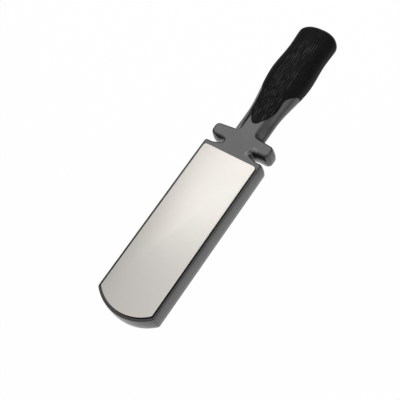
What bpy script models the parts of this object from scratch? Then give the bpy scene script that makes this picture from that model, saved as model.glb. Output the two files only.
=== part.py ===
"""Double-sided sharpening paddle with a notched guard and a soft-grip handle.

Units are metres.  The paddle points to -Y, the handle to +Y, and the fine plate faces +Z.
Heights are measured from the mid plane, where the two body shells meet.  Lengths along Y
are measured from the plates' heel, the edge beside the guard, and an empty then shifts the
whole tool so that its middle lies at the origin.
"""

import math

import bmesh
import bpy
from mathutils import Matrix, Vector

# Sharpening plates
PLATE_WIDTH = 0.0500
PLATE_LENGTH = 0.1504
PLATE_THICKNESS = 0.0010
PLATE_TIP_RADIUS = 0.0363
PLATE_HEEL_CORNER = 0.0027
PLATE_TIP_CORNER = 0.0018
PLATE_EDGE_BREAK = 0.00015
PLATE_PROUD = 0.0004

# Adhesive films that bond the plates into their recesses
FILM_THICKNESS = 0.0005
FILM_MARGIN = 0.0012

# Paddle body
BODY_THICKNESS = 0.0166
RIM_WIDTH = 0.0026
BODY_TIP_CORNER = 0.0030
EDGE_ROUND = 0.0018
BODY_WALL = 0.0026
FLOOR_THICKNESS = 0.0016
RIB_THICKNESS = 0.0016
RIB_PITCH = 0.0250
RIB_FIRST = 0.0190
RIB_COUNT = 5

# Guard with a notch on each side
SHOULDER_SETBACK = 0.0040
SHOULDER_CORNER = 0.0028
NOTCH_MOUTH = 0.0070
NOTCH_ROOT_HALF_SPAN = 0.0128
NOTCH_ROOT_WIDTH = 0.0038
NOTCH_ROOT_ROUND = 0.0018
NOTCH_FLARE_HALF_SPAN = 0.0210
NOTCH_FLARE_ROUND = 0.0060
NOTCH_LIP = 0.0006
NOTCH_LIP_HALF_SPAN = 0.0175
ARM_TIP_LENGTH = 0.0100
ARM_ROOT_LENGTH = 0.0122
ARM_FRONT_CORNER = 0.0044
ARM_REAR_CORNER = 0.0040
GUARD_CAVITY_HALF_WIDTH = 0.0080
GUARD_CAVITY_CORNER = 0.0013

# Flat tongue that runs from the guard along the neck
TONGUE_HALF_WIDTH = 0.0066
TONGUE_LENGTH = 0.0331
TONGUE_FILLET = 0.0032
TONGUE_CORNER = 0.0050

# Handle: widths and thicknesses at the neck, belly, waist and butt
NECK_WIDTH = 0.0278
NECK_THICKNESS = 0.0161
BELLY_WIDTH = 0.0376
BELLY_THICKNESS = 0.0254
WAIST_WIDTH = 0.0346
WAIST_THICKNESS = 0.0236
BUTT_WIDTH = 0.0356
BUTT_THICKNESS = 0.0240
SWELL_START_WIDE = 0.0420
SWELL_START_THICK = 0.0300
BELLY_AT = 0.0880
WAIST_AT = 0.1130
BUTT_AT = 0.1280
HANDLE_END = 0.1370
BUTT_ROUND = 0.0090
SECTION_POWER = 2.5

# Soft grip and the hollow tang inside it
GRIP_THICKNESS = 0.0026
GRIP_FRONT = 0.0334
GRIP_FRONT_ROUND = 0.0058
GRIP_TAPER_DEGREES = 19.0
GRIP_PAD_HALF_WIDTH = 0.0106
GRIP_PAD_ROUND = 0.0080
GRIP_RAIL_END = 0.0620
GRIP_FLARE_DEGREES = 33.0
TANG_WALL = 0.0022

# Screws that close the body
SCREW_HEAD_DIAMETER = 0.0054
SCREW_HEAD_HEIGHT = 0.0017
SCREW_SHANK_DIAMETER = 0.0028
SCREW_POINT_LENGTH = 0.0012
SCREW_POINT_DIAMETER = 0.0009
SCREW_CROWN = 0.0006
SCREW_RECESS_SPAN = 0.0030
SCREW_RECESS_WIDTH = 0.0007
SCREW_RECESS_DEPTH = 0.0009
SCREW_SINK = 0.0003
BOSS_WALL = 0.0013
PADDLE_SCREW_HALF_SPAN = 0.0170
PADDLE_SCREW_RIBS = (0, 2, 4)
HANDLE_SCREWS_AT = (0.0620, 0.1100)

# Clearances between pieces
FIT_GAP = 0.0003
SEAM_GAP = 0.0003

# Fineness of round stretches
ARC_STEP = math.radians(18)
TIP_STEPS = 16
SECTION_POINTS = 28
NECK_RINGS = 15
BUTT_RINGS = 5
EDGE_SEGMENTS = 3
SCREW_SIDES = 12
SHARP_ANGLE = math.radians(35)
EDGE_ANGLE = math.radians(60)
MERGE_DISTANCE = 0.000001

# Heights and places that follow from the sizes above
BODY_TOP = BODY_THICKNESS / 2
BODY_HALF_WIDTH = PLATE_WIDTH / 2 + RIM_WIDTH
RECESS_DEPTH = PLATE_THICKNESS - PLATE_PROUD + FILM_THICKNESS + 2 * FIT_GAP
RECESS_FLOOR = BODY_TOP - RECESS_DEPTH
CAVITY_TOP = RECESS_FLOOR - FLOOR_THICKNESS
TIP_CENTRE = PLATE_TIP_RADIUS - PLATE_LENGTH
BODY_TIP = -PLATE_LENGTH - RIM_WIDTH
ARM_FRONT = SHOULDER_SETBACK + NOTCH_MOUTH
ARM_TIP_REAR = ARM_FRONT + ARM_TIP_LENGTH
ARM_ROOT_REAR = ARM_FRONT + ARM_ROOT_LENGTH
TONGUE_END = ARM_ROOT_REAR + TONGUE_LENGTH
LENGTH_MIDDLE = (BODY_TIP + HANDLE_END) / 2
TALL = BODY_THICKNESS + BELLY_THICKNESS
LONG = 2 * PLATE_LENGTH + 2 * HANDLE_END


def clear_scene():
    """Remove whatever the scene holds."""
    for thing in list(bpy.data.objects):
        bpy.data.objects.remove(thing, do_unlink=True)


def new_collection(name):
    """Return a new collection in the scene."""
    group = bpy.data.collections.new(name)
    bpy.context.scene.collection.children.link(group)
    return group


def make_material(name, color, roughness, metallic):
    """Return a Principled material."""
    material = bpy.data.materials.new(name)
    material.use_nodes = True
    shader = material.node_tree.nodes["Principled BSDF"]
    shader.inputs["Base Color"].default_value = (*color, 1.0)
    shader.inputs["Roughness"].default_value = roughness
    shader.inputs["Metallic"].default_value = metallic
    return material


class Bench:
    """The collections, the frame that carries the tool, and the ways to add a piece."""

    def __init__(self):
        self.parts = new_collection("sharpening_paddle")
        self.cutters = new_collection("cutters")
        self.frame = bpy.data.objects.new("tool_frame", None)
        self.frame.location.y = -LENGTH_MIDDLE
        self.parts.objects.link(self.frame)

    def place(self, name, mesh, material=None, height=0.0):
        """Add a mesh as a piece, or as a cutter when it has no material."""
        piece = bpy.data.objects.new(name, mesh)
        piece.parent = self.frame
        piece.location.z = height
        mesh.shade_smooth()
        mesh.set_sharp_from_angle(angle=SHARP_ANGLE)
        if material:
            mesh.materials.append(material)
            self.parts.objects.link(piece)
        else:
            piece.hide_render = True
            piece.display_type = "WIRE"
            self.cutters.objects.link(piece)
        return piece

    def flat(self, name, outline, low, high, material=None):
        """Add a flat piece with the given outline, from height low to height high."""
        curve = bpy.data.curves.new(name, "CURVE")
        curve.dimensions = "2D"
        curve.fill_mode = "BOTH"
        curve.extrude = (high - low) / 2
        spline = curve.splines.new("POLY")
        spline.points.add(len(outline) - 1)
        for point, (x, y) in zip(spline.points, outline):
            point.co = (x, y, 0.0, 1.0)
        spline.use_cyclic_u = True
        sketch = bpy.data.objects.new(name + "_sketch", curve)
        self.cutters.objects.link(sketch)
        bpy.context.view_layer.update()
        solid = sketch.evaluated_get(bpy.context.evaluated_depsgraph_get())
        mesh = bpy.data.meshes.new_from_object(solid)
        bpy.data.objects.remove(sketch, do_unlink=True)
        sheet = bmesh.new()
        sheet.from_mesh(mesh)
        bmesh.ops.remove_doubles(sheet, verts=sheet.verts, dist=MERGE_DISTANCE)
        for side in (-1, 1):
            cap = [
                face
                for face in sheet.faces
                if all(side * corner.co.z > 0 for corner in face.verts)
            ]
            bmesh.ops.dissolve_faces(sheet, faces=cap)
        bmesh.ops.recalc_face_normals(sheet, faces=sheet.faces)
        sheet.to_mesh(mesh)
        sheet.free()
        return self.place(name, mesh, material, (low + high) / 2)

    def block(self, name, low, high):
        """Add a box cutter between two corners."""
        size = Vector(high) - Vector(low)
        middle = Matrix.Translation((Vector(high) + Vector(low)) / 2)
        stretch = Matrix.Diagonal((*size, 1.0))
        box = bmesh.new()
        bmesh.ops.create_cube(box, size=1.0, matrix=middle @ stretch)
        mesh = bpy.data.meshes.new(name)
        box.to_mesh(mesh)
        box.free()
        return self.place(name, mesh)

    def posts(self, name, radius, places, low, high):
        """Add round upright cutters of one radius at several places."""
        bundle = bmesh.new()
        half_side = Matrix.Rotation(math.pi / SCREW_SIDES, 4, "Z")
        for x, y in places:
            middle = Matrix.Translation((x, y, (low + high) / 2)) @ half_side
            bmesh.ops.create_cone(
                bundle,
                cap_ends=True,
                segments=SCREW_SIDES,
                radius1=radius,
                radius2=radius,
                depth=high - low,
                matrix=middle,
            )
        mesh = bpy.data.meshes.new(name)
        bundle.to_mesh(mesh)
        bundle.free()
        return self.place(name, mesh)


def cut(piece, tool, operation="DIFFERENCE"):
    """Cut, join or intersect a piece with a tool."""
    step = piece.modifiers.new(tool.name, "BOOLEAN")
    step.object = tool
    step.operation = operation
    step.solver = "EXACT"


def round_edges(piece, width, segments):
    """Round a flat piece's upper and lower edges."""
    bevel = piece.modifiers.new("edge_round", "BEVEL")
    bevel.width = width
    bevel.segments = segments
    bevel.limit_method = "ANGLE"
    bevel.angle_limit = EDGE_ANGLE


def rounded(corners):
    """Return the outline through corners (x, y, radius), with each corner rounded."""
    points = []
    for place, (x, y, radius) in enumerate(corners):
        if not radius:
            points.append((x, y))
            continue
        corner = Vector((x, y))
        back = (Vector(corners[place - 1][:2]) - corner).normalized()
        ahead = (Vector(corners[(place + 1) % len(corners)][:2]) - corner).normalized()
        half = back.angle(ahead) / 2
        centre = corner + (back + ahead).normalized() * (radius / math.sin(half))
        spoke = corner + back * (radius / math.tan(half)) - centre
        turn = math.copysign(math.pi - 2 * half, ahead.cross(back))
        steps = max(1, math.ceil(abs(turn) / ARC_STEP))
        for step in range(steps + 1):
            points.append(centre + Matrix.Rotation(turn * step / steps, 2) @ spoke)
    return [(x, y) for x, y in points]


def mirrored(half):
    """Close a right-hand run of corners with its mirror image."""
    left = [(-x, y, radius) for x, y, radius in reversed(half) if x > 0]
    return half + left


def tip_run(half_width, tip_radius, corner):
    """Return the right half of a round tip, from the middle line to the straight side."""
    across = half_width - corner
    reach = tip_radius - corner
    drop = math.sqrt(reach * reach - across * across)
    blend = math.atan2(-drop, across)
    run = []
    for step in range(TIP_STEPS + 1):
        angle = -math.pi / 2 + (blend + math.pi / 2) * step / TIP_STEPS
        run.append((tip_radius * math.cos(angle), TIP_CENTRE + tip_radius * math.sin(angle), 0))
    run[0] = (0.0, TIP_CENTRE - tip_radius, 0)
    steps = max(1, math.ceil(-blend / ARC_STEP))
    for step in range(1, steps + 1):
        angle = blend * (1 - step / steps)
        run.append((across + corner * math.cos(angle), TIP_CENTRE - drop + corner * math.sin(angle), 0))
    return run


def plate_outline(inset, heel_corner):
    """Return the plates' outline, drawn in by inset."""
    half_width = PLATE_WIDTH / 2 - inset
    run = tip_run(half_width, PLATE_TIP_RADIUS - inset, PLATE_TIP_CORNER)
    return rounded(mirrored(run + [(half_width, -inset, heel_corner)]))


def body_outline():
    """Return the outline of the paddle, the guard and the neck's flat tongue."""
    side = BODY_HALF_WIDTH
    root_low = ARM_FRONT - NOTCH_LIP - NOTCH_ROOT_WIDTH
    root_high = ARM_FRONT - NOTCH_LIP
    run = tip_run(side, PLATE_TIP_RADIUS + RIM_WIDTH, BODY_TIP_CORNER)
    run += [
        (side, SHOULDER_SETBACK, SHOULDER_CORNER),
        (NOTCH_FLARE_HALF_SPAN, SHOULDER_SETBACK, NOTCH_FLARE_ROUND),
        (NOTCH_ROOT_HALF_SPAN, root_low, NOTCH_ROOT_ROUND),
        (NOTCH_ROOT_HALF_SPAN, root_high, NOTCH_ROOT_ROUND),
        (NOTCH_LIP_HALF_SPAN, ARM_FRONT, 0),
        (side, ARM_FRONT, ARM_FRONT_CORNER),
        (side, ARM_TIP_REAR, ARM_REAR_CORNER),
        (TONGUE_HALF_WIDTH, ARM_ROOT_REAR, TONGUE_FILLET),
        (TONGUE_HALF_WIDTH, TONGUE_END, TONGUE_CORNER),
    ]
    return rounded(mirrored(run))


def grip_plan(outset):
    """Return the grip's plan outline: a round nose, a pad, and sides that close over rails."""
    taper = math.radians(GRIP_TAPER_DEGREES)
    flare = math.radians(GRIP_FLARE_DEGREES)
    nose = GRIP_FRONT_ROUND + outset
    half = GRIP_PAD_HALF_WIDTH + outset
    apex = GRIP_FRONT + GRIP_FRONT_ROUND - nose / math.sin(taper)
    rail_end = GRIP_RAIL_END - outset * math.tan(flare / 2)
    wide = half + BELLY_WIDTH
    far = HANDLE_END + BELLY_WIDTH
    run = [
        (0.0, apex, nose),
        (half, apex + half / math.tan(taper), GRIP_PAD_ROUND),
        (half, rail_end, GRIP_PAD_ROUND),
        (wide, rail_end + (wide - half) / math.tan(flare), 0),
        (wide, far, 0),
    ]
    return rounded(mirrored(run))


def swell(place, start, neck, belly, waist, butt):
    """Return a handle size at a place along it, eased from each station to the next."""
    stations = [(start, neck), (BELLY_AT, belly), (WAIST_AT, waist), (BUTT_AT, butt)]
    if place <= start:
        return neck
    for (low, size), (high, next_size) in zip(stations, stations[1:]):
        if place <= high:
            share = (place - low) / (high - low)
            return size + (next_size - size) * share * share * (3 - 2 * share)
    return butt


def handle_section(place, inset):
    """Return the ring of points of the handle's section at a place, drawn in by inset."""
    wide = swell(place, SWELL_START_WIDE, NECK_WIDTH, BELLY_WIDTH, WAIST_WIDTH, BUTT_WIDTH)
    thick = swell(
        place, SWELL_START_THICK, NECK_THICKNESS, BELLY_THICKNESS, WAIST_THICKNESS, BUTT_THICKNESS
    )
    ring = []
    for step in range(SECTION_POINTS):
        angle = 2 * math.pi * step / SECTION_POINTS
        across = math.copysign(abs(math.cos(angle)) ** (2 / SECTION_POWER), math.cos(angle))
        up = math.copysign(abs(math.sin(angle)) ** (2 / SECTION_POWER), math.sin(angle))
        ring.append(((wide / 2 - inset) * across, (thick / 2 - inset) * up))
    return ring


def handle_mesh(name, inset, start):
    """Loft the handle's form from a start near the guard to its rounded butt."""
    butt_round = BUTT_ROUND - inset
    straight_end = HANDLE_END - BUTT_ROUND
    rings = []
    for step in range(NECK_RINGS + 1):
        place = start + (straight_end - start) * step / NECK_RINGS
        rings.append((place, handle_section(place, inset)))
    for step in range(1, BUTT_RINGS + 1):
        angle = math.pi / 2 * step / BUTT_RINGS
        place = straight_end + butt_round * math.sin(angle)
        drawn_in = inset + butt_round * (1 - math.cos(angle))
        rings.append((place, handle_section(straight_end, drawn_in)))
    form = bmesh.new()
    loops = [[form.verts.new((x, place, z)) for x, z in ring] for place, ring in rings]
    form.faces.new(loops[0])
    form.faces.new(reversed(loops[-1]))
    for loop, following in zip(loops, loops[1:]):
        for step in range(SECTION_POINTS):
            after = (step + 1) % SECTION_POINTS
            form.faces.new((loop[step], following[step], following[after], loop[after]))
    bmesh.ops.recalc_face_normals(form, faces=form.faces)
    mesh = bpy.data.meshes.new(name)
    form.to_mesh(mesh)
    form.free()
    return mesh


def screw_places():
    """Return the paddle screws' and the handle screws' places in plan."""
    ribs = [-RIB_FIRST - RIB_PITCH * rib for rib in PADDLE_SCREW_RIBS]
    paddle = [(side * PADDLE_SCREW_HALF_SPAN, y) for y in ribs for side in (-1, 1)]
    handle = [(0.0, y) for y in HANDLE_SCREWS_AT]
    return paddle, handle


def add_cavities(bench):
    """Add the cutters that hollow the body, and leave its ribs and screw bosses standing."""
    paddle, handle = screw_places()
    boss = SCREW_HEAD_DIAMETER / 2 + FIT_GAP + BOSS_WALL
    bosses = bench.posts("bosses", boss, paddle + handle, -TALL, TALL)

    inset = BODY_WALL - RIM_WIDTH
    half_width = PLATE_WIDTH / 2 - inset
    run = tip_run(half_width, PLATE_TIP_RADIUS - inset, PLATE_TIP_CORNER)
    outline = rounded(mirrored(run + [(half_width, -BODY_WALL, PLATE_HEEL_CORNER)]))
    paddle_cavity = bench.flat("paddle_cavity", outline, -CAVITY_TOP, CAVITY_TOP)
    long_rib = bench.block(
        "long_rib",
        (-RIB_THICKNESS / 2, BODY_TIP, -TALL),
        (RIB_THICKNESS / 2, 0.0, TALL),
    )
    cut(paddle_cavity, long_rib)
    for rib in range(RIB_COUNT):
        middle = -RIB_FIRST - RIB_PITCH * rib
        cross_rib = bench.block(
            f"cross_rib_{rib + 1}",
            (-BODY_HALF_WIDTH, middle - RIB_THICKNESS / 2, -TALL),
            (BODY_HALF_WIDTH, middle + RIB_THICKNESS / 2, TALL),
        )
        cut(paddle_cavity, cross_rib)
    cut(paddle_cavity, bosses)

    guard_corners = [
        (GUARD_CAVITY_HALF_WIDTH, BODY_WALL, GUARD_CAVITY_CORNER),
        (GUARD_CAVITY_HALF_WIDTH, ARM_ROOT_REAR - BODY_WALL, GUARD_CAVITY_CORNER),
    ]
    outline = rounded(mirrored(guard_corners))
    guard_cavity = bench.flat("guard_cavity", outline, -CAVITY_TOP, CAVITY_TOP)

    hollow = GRIP_THICKNESS + TANG_WALL
    tang_cavity = bench.place("tang_cavity", handle_mesh("tang_cavity", hollow, ARM_ROOT_REAR))
    cut(tang_cavity, bosses)
    return paddle_cavity, guard_cavity, tang_cavity


def add_screw_holes(bench):
    """Add the cutters for the screws' shanks and heads."""
    paddle, handle = screw_places()
    places = paddle + handle
    head_under = RECESS_FLOOR - SCREW_SINK - SCREW_HEAD_HEIGHT
    shank = SCREW_SHANK_DIAMETER / 2 + FIT_GAP
    head = SCREW_HEAD_DIAMETER / 2 + FIT_GAP
    shank_holes = bench.posts("shank_holes", shank, places, -TALL, CAVITY_TOP)
    head_holes = bench.posts("head_holes", head, places, -TALL, FIT_GAP - head_under)
    return shank_holes, head_holes


def add_body_shells(bench, handle, material):
    """Add the upper and the lower half of the body."""
    outline = body_outline()
    grip_space = bench.flat("grip_space", grip_plan(FIT_GAP), -TALL, TALL)
    tang = bench.place("tang", handle_mesh("tang", GRIP_THICKNESS, ARM_ROOT_REAR))
    plate_space = plate_outline(-FIT_GAP, PLATE_HEEL_CORNER + FIT_GAP)
    upper_recess = bench.flat("upper_recess", plate_space, RECESS_FLOOR, TALL)
    lower_recess = bench.flat("lower_recess", plate_space, -TALL, -RECESS_FLOOR)
    cavities = add_cavities(bench)
    screw_holes = add_screw_holes(bench)
    below = bench.block("below_seam", (-LONG, -LONG, -TALL), (LONG, LONG, SEAM_GAP / 2))
    above = bench.block("above_seam", (-LONG, -LONG, -SEAM_GAP / 2), (LONG, LONG, TALL))
    for name, recess, other_half in (
        ("upper_body_shell", upper_recess, below),
        ("lower_body_shell", lower_recess, above),
    ):
        shell = bench.flat(name, outline, -BODY_TOP, BODY_TOP, material)
        round_edges(shell, EDGE_ROUND, EDGE_SEGMENTS)
        cut(shell, handle, "UNION")
        cut(shell, grip_space)
        cut(shell, tang, "UNION")
        cut(shell, recess)
        for tool in (*cavities, *screw_holes):
            cut(shell, tool)
        cut(shell, other_half)


def add_grip(bench, handle, material):
    """Add the soft grip, a sleeve over the tang with a pad along the neck on each side."""
    grip = bench.flat("soft_grip", body_outline(), -BODY_TOP, BODY_TOP, material)
    round_edges(grip, EDGE_ROUND, EDGE_SEGMENTS)
    wedge = bench.flat("grip_plan", grip_plan(0.0), -TALL, TALL)
    bore_mesh = handle_mesh("grip_bore", GRIP_THICKNESS - FIT_GAP, ARM_ROOT_REAR)
    cut(grip, handle, "UNION")
    cut(grip, wedge, "INTERSECT")
    cut(grip, bench.place("grip_bore", bore_mesh))


def add_plates(bench, steel, adhesive):
    """Add the fine plate above, the coarse plate below, and the film behind each."""
    top = BODY_TOP + PLATE_PROUD
    film_top = RECESS_FLOOR + FIT_GAP + FILM_THICKNESS
    plate = plate_outline(0.0, PLATE_HEEL_CORNER)
    film = plate_outline(FILM_MARGIN, PLATE_HEEL_CORNER)
    for label, side in (("fine", 1), ("coarse", -1)):
        low, high = sorted((side * top, side * (top - PLATE_THICKNESS)))
        sheet = bench.flat(f"{label}_diamond_plate", plate, low, high, steel)
        round_edges(sheet, PLATE_EDGE_BREAK, 1)
        low, high = sorted((side * film_top, side * (film_top - FILM_THICKNESS)))
        bench.flat(f"{label}_plate_adhesive", film, low, high, adhesive)


def screw_mesh():
    """Turn a pan-head screw, head down, with its point up."""
    head = SCREW_HEAD_DIAMETER / 2
    shank = SCREW_SHANK_DIAMETER / 2
    underside = SCREW_SINK + SCREW_HEAD_HEIGHT - RECESS_FLOOR
    bottom = SCREW_SINK - RECESS_FLOOR
    point = CAVITY_TOP - FIT_GAP
    profile = [
        (0.0, point),
        (SCREW_POINT_DIAMETER / 2, point),
        (shank, point - SCREW_POINT_LENGTH),
        (shank, underside),
        (head, underside),
        (head, bottom + SCREW_CROWN),
        (head - SCREW_CROWN, bottom),
        (0.0, bottom),
    ]
    line = bmesh.new()
    points = [line.verts.new((radius, 0.0, height)) for radius, height in profile]
    for first, second in zip(points, points[1:]):
        line.edges.new((first, second))
    mesh = bpy.data.meshes.new("screw")
    line.to_mesh(mesh)
    line.free()
    return mesh


def add_screws(bench, material):
    """Add the screws, each with a cross recess in its head."""
    paddle, handle = screw_places()
    names = [f"paddle_screw_{number + 1}" for number in range(len(paddle))]
    names += [f"handle_screw_{number + 1}" for number in range(len(handle))]
    bottom = SCREW_SINK - RECESS_FLOOR
    long_half = SCREW_RECESS_SPAN / 2
    short_half = SCREW_RECESS_WIDTH / 2
    for name, (x, y) in zip(names, paddle + handle):
        screw = bench.place(name, screw_mesh(), material)
        screw.location.x = x
        screw.location.y = y
        turn = screw.modifiers.new("turn", "SCREW")
        turn.axis = "Z"
        turn.steps = SCREW_SIDES
        turn.render_steps = SCREW_SIDES
        turn.use_merge_vertices = True
        turn.merge_threshold = MERGE_DISTANCE
        for label, across, along in (
            ("x", long_half, short_half),
            ("y", short_half, long_half),
        ):
            slot = bench.block(
                f"{name}_recess_{label}",
                (x - across, y - along, bottom - SCREW_RECESS_DEPTH),
                (x + across, y + along, bottom + SCREW_RECESS_DEPTH),
            )
            cut(screw, slot)


def main():
    """Build the tool."""
    clear_scene()
    bench = Bench()
    plastic = make_material("grey_body_plastic", (0.115, 0.117, 0.122), 0.42, 0.0)
    rubber = make_material("black_soft_grip", (0.010, 0.010, 0.011), 0.62, 0.0)
    steel = make_material("diamond_plated_steel", (0.72, 0.71, 0.69), 0.38, 0.85)
    adhesive = make_material("adhesive_film", (0.80, 0.80, 0.76), 0.60, 0.0)
    zinc = make_material("zinc_plated_screw", (0.62, 0.63, 0.65), 0.30, 1.0)
    handle = bench.place("handle_form", handle_mesh("handle_form", 0.0, ARM_FRONT + BODY_WALL))
    add_body_shells(bench, handle, plastic)
    add_grip(bench, handle, rubber)
    add_plates(bench, steel, adhesive)
    add_screws(bench, zinc)


main()
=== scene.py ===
import math

import bmesh
import bpy
from mathutils import Matrix, Vector


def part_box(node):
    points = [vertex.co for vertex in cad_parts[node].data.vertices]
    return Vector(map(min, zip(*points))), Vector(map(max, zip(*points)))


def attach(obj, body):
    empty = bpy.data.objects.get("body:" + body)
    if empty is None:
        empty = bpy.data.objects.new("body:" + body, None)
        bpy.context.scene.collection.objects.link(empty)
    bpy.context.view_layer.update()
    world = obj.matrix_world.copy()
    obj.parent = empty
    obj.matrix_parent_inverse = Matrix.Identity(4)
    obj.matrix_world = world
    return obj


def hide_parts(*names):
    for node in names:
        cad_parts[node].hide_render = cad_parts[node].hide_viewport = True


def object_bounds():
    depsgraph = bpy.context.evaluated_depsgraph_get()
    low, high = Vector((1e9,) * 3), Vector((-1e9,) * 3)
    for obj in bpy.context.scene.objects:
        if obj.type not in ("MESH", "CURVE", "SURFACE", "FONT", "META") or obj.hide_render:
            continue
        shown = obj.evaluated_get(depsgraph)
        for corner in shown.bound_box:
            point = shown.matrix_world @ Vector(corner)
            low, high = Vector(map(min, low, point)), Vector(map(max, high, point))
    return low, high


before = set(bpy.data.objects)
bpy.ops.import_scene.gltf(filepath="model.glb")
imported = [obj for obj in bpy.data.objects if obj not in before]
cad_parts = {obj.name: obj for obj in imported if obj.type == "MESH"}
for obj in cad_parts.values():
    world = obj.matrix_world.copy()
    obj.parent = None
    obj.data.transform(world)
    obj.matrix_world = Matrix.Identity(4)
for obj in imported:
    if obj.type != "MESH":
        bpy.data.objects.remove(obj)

bl_info = {
    "name": "Sharpening Paddle",
    "version": (1, 0, 0),
    "blender": (4, 5, 0),
    "location": "View3D > Sidebar > Paddle",
    "description": "Dresses a double-sided sharpening paddle and sets its studio",
    "category": "Object",
}

# The frame: its box, and where the plates' heel and the fine plate's face lie in it
CAD_BOX = [list(corner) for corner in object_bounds()]
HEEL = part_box("fine_diamond_plate")[1].y
PLATE_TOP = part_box("fine_diamond_plate")[1].z
BODY = "root"

# Meshes: where edges stay sharp, how fine rounds are, and small distances
MILLIMETRE = 0.001
SHARP_ANGLE = math.radians(38)
ARC_STEP = math.radians(4)
RIB_SIDES = 8
MERGE_DISTANCE = 1e-6
FLAT_LIMIT = 1e-7
SEAM_GAP = 0.00006

# How the body's field is sampled: its box, its cells, the level at the surface, and how often
# the mesh is pulled onto the surface
FIELD_LOW = (-0.0295, HEEL - 0.1555, -0.0012)
FIELD_HIGH = (0.0295, HEEL + 0.1385, 0.0138)
CELL = 0.0005
FIELD_LEVEL = 10.0
PULLS = 3

# Where the edges soften towards the guard and the tongue, measured from the plates' heel
GUARD_EASE = (-0.012, 0.002)
TONGUE_EASE = (0.0215, 0.0280)

# The neck's fillet fades out this far under the guard's top, down to a least radius
FILLET_DEPTH = 0.0008
LEAST_FILLET = 0.00005

# Cutters and rays, which only have to reach past the tool
CUTTER_HEIGHT = 0.03
GRIP_CUT_SIDE = 0.03
GRIP_CUT_END = 0.18
RAY_START = (0, 0, 0.05)
RAY_LENGTH = 0.1

# Rubbed places beside the right notch
NOTCH_ROOT = (0.0118, HEEL + 0.0072, 0.0083)
NOTCH_LIP = (0.0148, HEEL + 0.0122, 0.0083)
SCUFF_REACH = 0.0040

# Heights between which the painted shade on a plate's side walls gives way to its grit
SIDE_SHADE_EASE = (PLATE_TOP - 0.00045, PLATE_TOP - 0.0001)

# The studio
KEY_LIGHT = {"place": (-0.27, 0.37, 0.51), "target": (-0.03, 0.04, 0.0), "width": 0.56}
FILL_LIGHT = {"place": (0.85, 0.05, 0.42), "target": (0.0, -0.03, 0.0), "width": 0.75}
SKY_EASE = (0.35, 0.80)
FLOOR_WHITE = 0.98
CAMERA_PLACE = (0.2964, HEEL - 0.2222, PLATE_TOP + 0.5750)
CAMERA_RIGHT = (0.7942048, 0.5607054, -0.2341969)
CAMERA_DOWN = (0.4189638, -0.7844417, -0.4572971)
CAMERA_AHEAD = (-0.4401227, 0.2650675, -0.8579226)
SENSOR_WIDTH = 36.0


# Sizes and colours that a user may change


def length(label, millimetres, says):
    """Return a length property, with its default given in millimetres."""
    return bpy.props.FloatProperty(
        name=label,
        description=says,
        default=millimetres * MILLIMETRE,
        unit="LENGTH",
        precision=5,
    )


def number(label, default, says):
    """Return a plain number property."""
    return bpy.props.FloatProperty(name=label, description=says, default=default, precision=4)


def slant(label, degrees, says):
    """Return an angle property, with its default given in degrees."""
    return bpy.props.FloatProperty(
        name=label, description=says, default=math.radians(degrees), subtype="ANGLE"
    )


def colour(label, default, says):
    """Return a colour property."""
    return bpy.props.FloatVectorProperty(
        name=label, description=says, default=default, size=3, min=0.0, max=1.0, subtype="COLOR"
    )


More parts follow.
